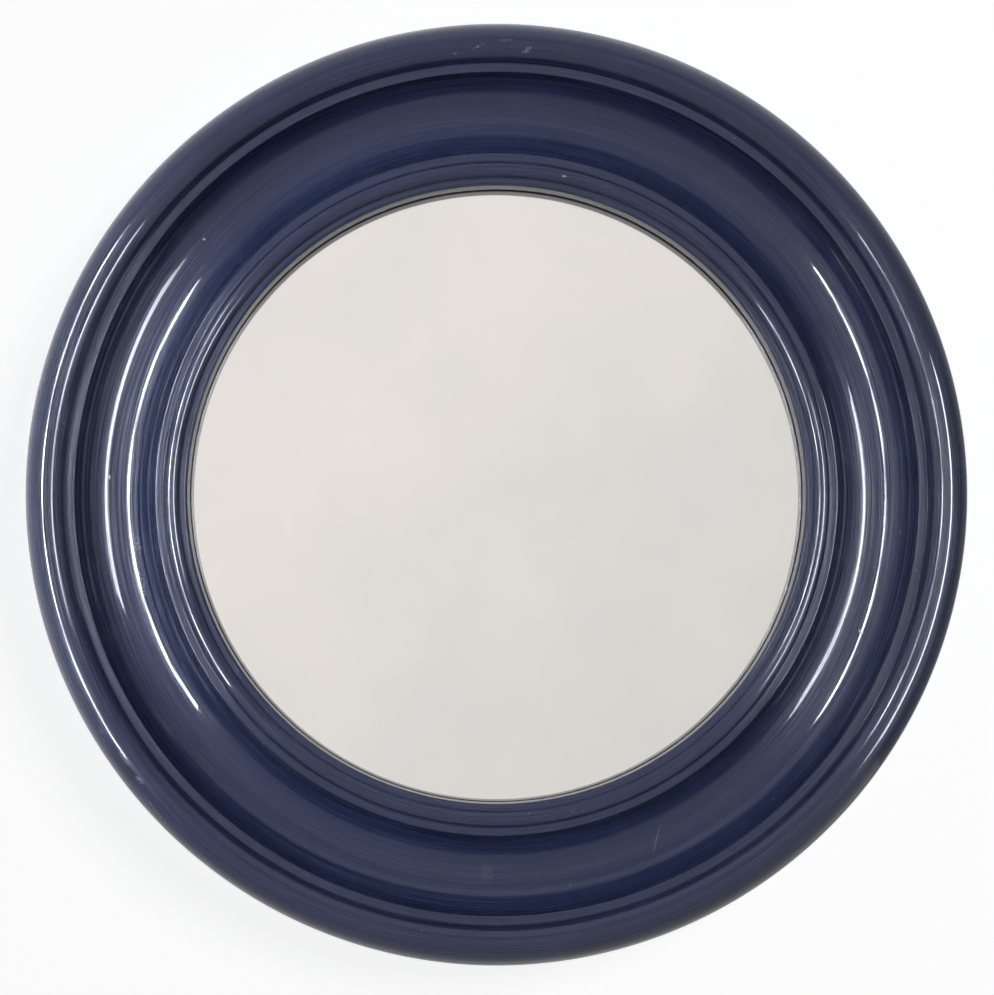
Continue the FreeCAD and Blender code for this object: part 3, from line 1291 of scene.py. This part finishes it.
@dataclass
class Screw:
    """A pan-head screw with a cross recess and a coarse thread."""

    shank_radius: float = 1.75 * MM
    core_radius: float = 1.25 * MM
    head_radius: float = 3.5 * MM
    head_height: float = 2.2 * MM
    shoulder: float = 2.1 * MM
    crown_power: float = 3.6
    rim_power: float = 0.45
    pitch: float = 1.4 * MM
    ridge_slope: float = 2.6
    tip_length: float = 2.0 * MM
    tip_power: float = 0.7
    recess_reach: float = 1.95 * MM
    recess_half_width: float = 0.42 * MM
    recess_depth: float = 1.35 * MM
    wall_run: float = 0.16 * MM
    steps_round: int = 96
    crown_rows: int = 30
    rim_rows: int = 16
    shank_rows: int = 110

    def surface(self, centre: Place, seat: float, reach: float, recess_turn: float) -> Surface:
        """Makes one screw, with its head behind its seat and its shank in front.

        The head's height is H (1 - (r/R)^3.6)^0.45, less the recess: two crossed slots whose depth
        falls from the middle to their ends. The thread's radius is a ridge in z / pitch - turn / 2 pi.

        Args:
            centre: the screw's place across and up.
            seat: the depth of the face that the head rests on.
            reach: the shank's length.
            recess_turn: how far the recess is turned.

        Returns:
            The surface.
        """
        turn = even_turns(self.steps_round)
        swell = np.sin(np.linspace(0.0, math.pi / 2, self.rim_rows)[1:])
        crown = np.linspace(0.0, self.shoulder, self.crown_rows)
        radius = np.append(crown, self.shoulder + (self.head_radius - self.shoulder) * swell)[:, None]
        fall = np.maximum(1 - (radius / self.head_radius) ** self.crown_power, 0.0)
        across = np.abs(radius * np.cos(turn - recess_turn))
        up = np.abs(radius * np.sin(turn - recess_turn))
        slots = np.maximum(self._slot(across, up), self._slot(up, across))
        head = seat - self.head_height * fall**self.rim_power + slots

        rise = np.linspace(0.0, reach, self.shank_rows)[:, None]
        phase = np.mod(rise / self.pitch - turn / FULL_TURN, 1.0)
        ridge = np.clip(1 - self.ridge_slope * np.abs(phase - 0.5), 0.0, 1.0)
        taper = np.clip((reach - rise) / self.tip_length, 0.0, 1.0) ** self.tip_power
        shank = (self.core_radius + (self.shank_radius - self.core_radius) * ridge) * taper
        radii = np.vstack([np.broadcast_to(radius, head.shape), shank])
        depths = np.vstack([head, np.broadcast_to(seat + rise, shank.shape)])
        return grid(round_axis(radii, depths, turn, centre))

    def _slot(self, along: np.ndarray, aside: np.ndarray) -> np.ndarray:
        """Gives the depth of one slot at distances along it and aside from it.

        Args:
            along: the distances along the slot.
            aside: the distances aside from it.

        Returns:
            The depth at each place.
        """
        inside = np.clip((self.recess_half_width + self.wall_run - aside) / self.wall_run, 0.0, 1.0)
        smooth = inside**2 * (3 - 2 * inside)
        return self.recess_depth * smooth * np.clip(1 - along / self.recess_reach, 0.0, 1.0) ** 0.5


@dataclass
class SteelFitting(ABC):
    """A flat steel piece with a hole and rounded edges, and its screws.

    Its edge and its hole are distances from a centre by angle, drawn on the +X side of the mirror.
    """

    node: str
    steps_round: int
    edge: float = 0.3 * MM
    edge_steps: int = 5
    flat_inset: float = 1.4
    fine_steps: int = 4001
    screw_grip: float = 10.0 * MM
    first_recess: float = 0.5
    next_recess: float = 1.3
    screw: Screw = field(default_factory=Screw)

    def __post_init__(self) -> None:
        """Reads where the piece lies from its node."""
        self.low, self.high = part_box(self.node)
        self.front, self.rear = -self.low.y, -self.high.y

    @abstractmethod
    def outline(self, angle: np.ndarray) -> np.ndarray:
        """Gives the edge's distance at each angle."""

    @abstractmethod
    def hole(self, angle: np.ndarray) -> np.ndarray:
        """Gives the hole's distance at each angle."""

    def plate(self, name: str, place: float, turn: float) -> Object:
        """Makes the flat piece.

        A rounded edge is a quarter circle of radius e at each face, so a point at angle a on it lies
        e(1 - cos a) inside the edge. The steps round the piece are even along its edge.

        Args:
            name: the object's name.
            place: the centre's radius on the mirror.
            turn: the centre's turn.

        Returns:
            The object.
        """
        fine = np.linspace(0.0, FULL_TURN, self.fine_steps)
        along = lengths_along(self.outline(fine)[:, None] * ray(fine))
        angle = np.interp(np.linspace(0.0, along[-1], self.steps_round, endpoint=False), along, fine)
        flat = self.flat_inset * self.edge
        half_axes = (-self.edge, self.edge)
        lower = arc((self.edge, self.rear + self.edge), half_axes, -90, 0, self.edge_steps)
        upper = arc((self.edge, self.front - self.edge), half_axes, 0, 90, self.edge_steps)
        section = np.vstack([[(flat, self.rear)], lower, upper, [(flat, self.front)]])
        inset, depth = section[:, :1], section[:, 1:]
        radius = np.vstack([self.outline(angle)[None, :] - inset, self.hole(angle)[None, :] + inset])
        points = round_axis(radius, np.vstack([depth, depth[::-1]]), angle[None, :], (place, 0.0))
        return make_object(name, grid(turned_into_place(points, turn), closed=True))

    def driven(self, name: str, centres: list[Place]) -> Object:
        """Makes the screws, each with its recess turned further than the last.

        Args:
            name: the object's name.
            centres: their places across and up.

        Returns:
            The object.
        """
        reach = self.front - self.rear + self.screw_grip
        screws = [
            self.screw.surface(centre, self.rear, reach, self.first_recess + number * self.next_recess)
            for number, centre in enumerate(centres)
        ]
        return make_object(name, joined(screws))


@dataclass
class TurnButtons(SteelFitting):
    """The steel buttons that hold the board in, each on its own body, and their screws."""

    node: str = "turn_button_1"
    steps_round: int = 160
    count: int = 6
    heel_radius: float = 6.0 * MM
    tip_width: float = 7.0 * MM
    length: float = 24.0 * MM
    hole_radius: float = 1.8 * MM

    def outline(self, angle: np.ndarray) -> np.ndarray:
        """Gives the button's edge about its pivot: a round heel, and straight sides to a clipped tip.

        Args:
            angle: the angles.

        Returns:
            The edge's distance at each angle.
        """
        toe = self.heel_radius - self.length
        half = self.tip_width / 2
        clip = self.tip_width / 4
        upper = [(0.0, self.heel_radius), (toe + clip, half), (toe, half - clip)]
        lower = [(along, -side) for along, side in reversed(upper)]
        return np.where(np.cos(angle) >= 0, self.heel_radius, convex_reach(np.array(upper + lower), angle))

    def hole(self, angle: np.ndarray) -> np.ndarray:
        """Gives the edge of the screw's round hole."""
        return np.full_like(angle, self.hole_radius)

    def build(self, steel: Material, screw_steel: Material) -> None:
        """Makes the buttons and their screws and sets them in place.

        Args:
            steel: the buttons' material.
            screw_steel: the screws' material.
        """
        pivot_radius = self.high.x - self.heel_radius
        turns = [number * FULL_TURN / self.count for number in range(self.count)]
        for number, turn in enumerate(turns, start=1):
            node = f"turn_button_{number}"
            fit_piece(self.plate(f"steel_{node}", pivot_radius, turn), steel, Slot.BUTTON, node, node)
        centres = [(pivot_radius * math.cos(turn), pivot_radius * math.sin(turn)) for turn in turns]
        screws = self.driven("pan_head_button_screws", centres)
        fit_piece(screws, screw_steel, Slot.SCREW, ROOT, "button_screws")


@dataclass
class Hanger(SteelFitting):
    """The keyhole plate at the top and its two screws."""

    node: str = "hanger_plate"
    steps_round: int = 320
    corner_cut: float = 3.0 * MM
    keyhole_radius: float = 4.75 * MM
    slot_width: float = 5.0 * MM
    keyhole_drop: float = 3.5 * MM
    keyhole_rise: float = 9.5 * MM
    screw_spacing: float = 40.0 * MM
    first_recess: float = -1.017733
    next_recess: float = 2.035466

    @property
    def height(self) -> float:
        """The plate's place above the mirror's axis."""
        return (self.high.z + self.low.z) / 2

    def outline(self, angle: np.ndarray) -> np.ndarray:
        """Gives the plate's edge: a rectangle with clipped corners, drawn with its top outwards.

        Args:
            angle: the angles.

        Returns:
            The edge's distance at each angle.
        """
        cut, tall, wide = self.corner_cut, (self.high.z - self.low.z) / 2, self.high.x
        first = [(tall, cut - wide), (tall, wide - cut), (tall - cut, wide), (cut - tall, wide)]
        corners = first + [(-along, -side) for along, side in first]
        return convex_reach(np.array(corners), angle)

    def hole(self, angle: np.ndarray) -> np.ndarray:
        """Gives the keyhole's edge: a round entry, or the slot above it where that reaches further.

        Args:
            angle: the angles.

        Returns:
            The edge's distance at each angle.
        """
        half = self.slot_width / 2
        slot_end = self.keyhole_rise - self.keyhole_drop
        side = half / np.maximum(np.abs(np.sin(angle)), TINY)
        past_end = side * np.cos(angle) > slot_end
        slot = np.where(past_end, circle_reach(slot_end, half, angle), side)
        entry = circle_reach(-self.keyhole_drop, self.keyhole_radius, angle)
        return np.maximum(entry, np.where(np.cos(angle) > 0, slot, 0.0))

    def build(self, steel: Material, screw_steel: Material) -> None:
        """Makes the plate and its screws and sets them in place.

        Args:
            steel: the plate's material.
            screw_steel: the screws' material.
        """
        fit_piece(self.plate("keyhole_plate", self.height, TOP), steel, Slot.PLATE, ROOT, "hanger_plate")
        centres = [(side * self.screw_spacing / 2, self.height) for side in (-1, 1)]
        screws = self.driven("pan_head_hanger_screws", centres)
        fit_piece(screws, screw_steel, Slot.SCREW, ROOT, "hanger_screws")


# The studio


@dataclass(frozen=True)
class Lamp:
    """A rectangular lamp that faces the mirror. Its level is its brightness, where 1 is white."""

    name: str
    place: Point
    size: Place
    level: float
    rays: Rays
    aim: Point = (0.0, 0.0, 0.0)
    spread: float = math.pi
    colour: Colour = (1.0, 1.0, 1.0)

    def hang(self) -> Object:
        """Makes the lamp.

        A flat lamp's power is four times its area and its level. One that is masked to a spread of 2h
        is tan h / (tan h - h) times as bright along its axis, so its power is less by that.

        Returns:
            The lamp.
        """
        data = bpy.data.lights.new(self.name, "AREA")
        data.shape = "RECTANGLE"
        data.size, data.size_y = self.size
        data.color = self.colour
        data.spread = self.spread
        half = self.spread / 2
        gain = math.tan(half) / (math.tan(half) - half) if self.spread < math.pi else 1.0
        data.energy = 4 * self.size[0] * self.size[1] * self.level / gain
        lamp = link_object(self.name, data)
        lamp.location = self.place
        lamp.rotation_euler = (Vector(self.place) - Vector(self.aim)).to_track_quat("Z", "Y").to_euler()
        lamp.visible_camera = False
        lamp.visible_transmission = False
        lamp.visible_diffuse = self.rays is Rays.MATT
        lamp.visible_glossy = self.rays is Rays.GLOSS
        return lamp


STRIP_COLOUR = (0.84, 0.91, 1.0)


@dataclass
class Studio:
    """Strips for the gloss, soft lamps before and behind, and the wall, floor and room round them."""

    lamps: tuple[Lamp, ...] = (
        Lamp("right_strip", (2.5, -4.0, -0.24), (0.74, 2.40), 27.0, Rays.GLOSS, colour=STRIP_COLOUR),
        Lamp("soft_key", (0.0, -3.1, 0.9), (1.2, 1.2), 7.2, Rays.MATT),
        Lamp("left_fill", (-1.5, -3.0, 0.2), (0.8, 0.8), 135.0, Rays.MATT, (-0.2, 0, 0), math.radians(13)),
        Lamp("light_behind", (-0.9, 3.2, 1.1), (1.8, 1.8), 4.0, Rays.MATT),
        Lamp("behind_left", (-2.4, 1.9, 0.5), (1.5, 1.5), 5.0, Rays.MATT),
        Lamp("behind_right", (2.4, 1.9, 0.5), (1.5, 1.5), 5.0, Rays.MATT),
        Lamp("behind_above", (0.0, 1.9, 2.4), (1.5, 1.5), 5.0, Rays.MATT),
    )
    wall_lamp: Lamp = Lamp("wall_lamp", (2.0, -2.6, 1.2), (1.3, 1.3), 3.6, Rays.MATT)
    left_place: Place = (-2.5, -4.0)
    left_span: Place = (-1.70, 1.90)
    left_count: int = 6
    left_width: float = 0.80
    left_level: float = 95.0
    left_aim: Point = (-0.25, 0.0, 0.0)
    left_spread: float = math.radians(11)
    ambient: float = 0.07
    room_bright: Colour = (0.93, 0.87, 0.845)
    room_dim: Colour = (0.80, 0.765, 0.74)
    bright_way: Point = (-0.7, 0.0, 0.7)
    bright_fade: float = 0.15
    room_wide: Colour = (0.58, 0.58, 0.62)
    side_lit: Colour = (1.05, 1.07, 1.14)
    side_dark: Colour = (0.26, 0.27, 0.30)
    lit_way: Point = (-0.64, 0.0, 0.77)
    lit_fade: float = 0.5
    room_behind: Colour = (0.72, 0.70, 0.70)
    opposite_cone: Place = (24, 11)
    wide_cone: Place = (52, 48)
    behind_cone: Place = (156, 144)
    wall_glow: float = 0.85
    wall_colour: float = 0.60
    floor_colour: Colour = (0.20, 0.20, 0.20)
    floor_glow: Colour = (0.66, 0.65, 0.64)
    floor_roughness: float = 0.7
    wall_half: float = 2.0
    wall_gap: float = 0.5 * MM
    floor_level: float = -1.25

    @staticmethod
    def _plane(name: str, corners: list[Point], material: Material) -> Object:
        """Makes a flat stage piece.

        Args:
            name: its name.
            corners: its corners.
            material: its material.

        Returns:
            The object.
        """
        made = make_object(name, Surface(np.array(corners), [[0, 1, 2, 3]]), smooth=False)
        made.data.materials.append(material)
        return made

    def left_strip(self) -> list[Lamp]:
        """Gives the left strip, in pieces that are all masked and turned to the mirror's left side.

        Returns:
            The lamps.
        """
        low, high = self.left_span
        each = (high - low) / self.left_count
        beam = (self.left_level, Rays.GLOSS, self.left_aim, self.left_spread, STRIP_COLOUR)
        levels = [low + (number + 0.5) * each for number in range(self.left_count)]
        return [
            Lamp(f"left_strip_{number}", (*self.left_place, level), (self.left_width, each), *beam)
            for number, level in enumerate(levels, start=1)
        ]

    def hang_wall(self) -> Object:
        """Makes the wall, which only the camera sees and only from the front. It shows the shadow.

        Returns:
            The wall.
        """
        look = Look("white wall")
        look.tree.nodes.remove(look.shader)
        glow = look.add("ShaderNodeEmission", {"Strength": self.wall_glow}).outputs[0]
        matt = look.add("ShaderNodeBsdfDiffuse", {"Color": (self.wall_colour,) * 3}).outputs[0]
        lit = look.add("ShaderNodeAddShader", {0: glow, 1: matt}).outputs[0]
        clear = look.add("ShaderNodeBsdfTransparent").outputs[0]
        seen = look.add("ShaderNodeLightPath").outputs["Is Camera Ray"]
        behind = look.add("ShaderNodeNewGeometry").outputs["Backfacing"]
        shown = look.times(seen, look.work("SUBTRACT", 1.0, behind))
        mixed = look.add("ShaderNodeMixShader", {0: shown, 1: clear, 2: lit}).outputs[0]
        look.feed(look.tree.nodes["Material Output"], {"Surface": mixed})
        half, gap = self.wall_half, self.wall_gap
        corners = [(-half, gap, -half), (half, gap, -half), (half, gap, half), (-half, gap, half)]
        return self._plane("wall", corners, look.material)

    def lay_floor(self) -> Object:
        """Makes the pale floor, which glows a little, because most of the lamps leave it out.

        Returns:
            The floor.
        """
        look = Look("pale floor")
        ways = look.add("ShaderNodeLightPath").outputs
        look.set({
            "Base Color": self.floor_colour,
            "Roughness": self.floor_roughness,
            "Emission Color": self.floor_glow,
            "Emission Strength": look.most(ways["Is Camera Ray"], ways["Is Glossy Ray"]),
        })
        half, level = self.wall_half, self.floor_level
        near = -2 * half
        corners = [(-half, near, level), (half, near, level), (half, half, level), (-half, half, level)]
        return self._plane("floor", corners, look.material)

    def fill_room(self) -> None:
        """Makes the world: white to the camera, a pale beige room in gloss and glass, and a soft ambient."""
        world = bpy.data.worlds.new("room")
        world.use_nodes = True
        bpy.context.scene.world = world
        graph = NodeGraph(world.node_tree)
        ways = graph.add("ShaderNodeLightPath").outputs
        direction = graph.add("ShaderNodeTexCoord").outputs["Generated"]
        ahead = graph.dot(direction, (0.0, -1.0, 0.0))
        facing, inside, past = (
            graph.spread(ahead, *(math.cos(math.radians(angle)) for angle in cone))
            for cone in (self.opposite_cone, self.wide_cone, self.behind_cone)
        )
        bright = graph.spread(graph.dot(direction, self.bright_way), -self.bright_fade, self.bright_fade)
        opposite = graph.mix(bright, self.room_dim, self.room_bright)
        lit = graph.spread(graph.dot(direction, self.lit_way), -self.lit_fade, self.lit_fade)
        around = graph.mix(past, self.room_behind, graph.mix(lit, self.side_dark, self.side_lit))
        room = graph.mix(inside, around, graph.mix(facing, self.room_wide, opposite))
        reflected = graph.work("MINIMUM", graph.plus(ways["Is Glossy Ray"], ways["Is Transmission Ray"]), 1.0)
        seen = graph.mix(reflected, (self.ambient,) * 3, room)
        shown = graph.mix(ways["Is Camera Ray"], seen, (1.0, 1.0, 1.0))
        graph.feed(graph.tree.nodes["Background"], {"Color": shown})

    def build(self) -> None:
        """Sets up the studio."""
        wall, floor = self.hang_wall(), self.lay_floor()
        others = bpy.data.collections.new("all but the wall and floor")
        for number, plane in enumerate((wall, floor)):
            others.objects.link(plane)
            others.collection_objects[number].light_linking.link_state = "EXCLUDE"
        for lamp in (*self.lamps, *self.left_strip()):
            lamp.hang().light_linking.receiver_collection = others
        only_wall = bpy.data.collections.new("the wall alone")
        only_wall.objects.link(wall)
        self.wall_lamp.hang().light_linking.receiver_collection = only_wall
        self.fill_room()


def main() -> None:
    """Builds the mirror, its studio and its camera."""
    logging.basicConfig(level=logging.INFO, format="%(name)s: %(message)s")
    bpy.context.scene.view_settings.view_transform = "Standard"
    effects = Effects()
    screw_steel = ZincedSteel("screw steel", (0.62, 0.61, 0.58), roughness=0.26).material(effects)
    hanger = Hanger()
    glossy, dull = GlossyPlastic().material(effects), DullPlastic().material(effects)
    MouldedFrame().build(glossy, dull, hanger.height, hanger.front)
    Glazing().build(*(sheet.material(effects) for sheet in (ClearGlass(), SilverFilm(), Card(), Hardboard())))
    TurnButtons().build(ZincedSteel("button steel").material(effects), screw_steel)
    plate_steel = ZincedSteel("plate steel", (0.58, 0.58, 0.56), line_turn=0.02).material(effects)
    hanger.build(plate_steel, screw_steel)
    Studio().build()
    PHOTO.set_camera()


if __name__ == "__main__":
    main()
